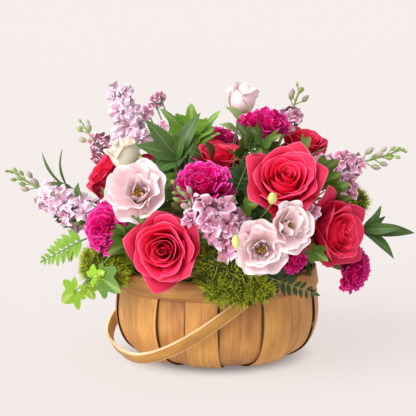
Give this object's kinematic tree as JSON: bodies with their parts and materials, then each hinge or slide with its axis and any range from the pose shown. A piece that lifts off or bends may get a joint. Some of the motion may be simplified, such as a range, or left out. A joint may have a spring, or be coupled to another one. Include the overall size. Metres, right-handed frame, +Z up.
{
  "type": "flower basket arrangement",
  "caption": "Round splint basket with a swinging bail handle, filled with a dome of roses, carnations, lisianthus, stock, leaves, ivy, fern and moss on wet foam.",
  "frame": {"origin": "centre of the underside of the base board", "axes": "+Z up out of the basket, -Y towards the front, +X to the viewer's right"},
  "size_m": [0.4181, 0.3048, 0.2837],
  "materials": {
    "splint_wood": "satin, fine upright grain",
    "bail_wood": "satin",
    "pin_metal": "dull",
    "liner_plastic": "thin moulded",
    "wet_foam": "open fine foam, soaked",
    "rose_petal": "velvety fresh petal",
    "carnation_petal": "ruffled fresh petal",
    "lisianthus_petal": "thin fresh petal",
    "stock_petal": "thin fresh petal",
    "green_leaf": "waxy leaf",
    "ivy_leaf": "waxy leaf",
    "fern_blade": "matte leaf",
    "moss": "fuzzy"
  },
  "bodies": {
    "basket": {"stave_over_1": "splint_wood", "stave_under_1": "splint_wood", "stave_over_2": "splint_wood", "stave_under_2": "splint_wood", "stave_over_3": "splint_wood", "stave_under_3": "splint_wood", "stave_over_4": "splint_wood", "stave_under_4": "splint_wood", "stave_over_5": "splint_wood", "stave_under_5": "splint_wood", "stave_over_6": "splint_wood", "stave_under_6": "splint_wood", "stave_over_7": "splint_wood", "stave_under_7": "splint_wood", "stave_over_8": "splint_wood", "stave_under_8": "splint_wood", "base_board": "splint_wood", "rim_band_outer": "splint_wood", "rim_band_inner": "splint_wood", "pivot_pin_front": "pin_metal", "pivot_pin_back": "pin_metal", "plastic_liner": "liner_plastic", "floral_foam": "wet_foam", "rose_front_left": "rose_petal", "rose_center_right": "rose_petal", "rose_right": "rose_petal", "rose_left": "rose_petal", "rose_top": "rose_petal", "rose_right_rear": "rose_petal", "rose_rear_left": "rose_petal", "rose_rear_right": "rose_petal", "carnation_center": "carnation_petal", "carnation_left": "carnation_petal", "carnation_top": "carnation_petal", "carnation_right": "carnation_petal", "carnation_low": "carnation_petal", "carnation_rear": "carnation_petal", "lisianthus_left": "lisianthus_petal", "lisianthus_bud_left": "lisianthus_petal", "lisianthus_front": "lisianthus_petal", "lisianthus_front_high": "lisianthus_petal", "lisianthus_bud_top": "lisianthus_petal", "stock_left": "stock_petal", "stock_top_left": "stock_petal", "stock_front": "stock_petal", "stock_top_right": "stock_petal", "stock_right": "stock_petal", "stock_rear": "stock_petal", "ruscus_top": "green_leaf", "ruscus_right": "green_leaf", "leaf_spray_top": "green_leaf", "ivy_top": "ivy_leaf", "ivy_center": "ivy_leaf", "ivy_left": "ivy_leaf", "fern_left": "fern_blade", "fern_right": "fern_blade", "moss_front": "moss", "moss_left": "moss", "moss_right": "moss"},
    "bail": {"bail_handle": "bail_wood"}
  },
  "joints": [
    {"name": "bail_swing", "type": "hinge", "parent": "basket", "child": "bail", "pos_m": [0, 0, 0.086], "axis": [-0.342, 0.9397, 0], "range_deg": [0, 26]}
  ]
}
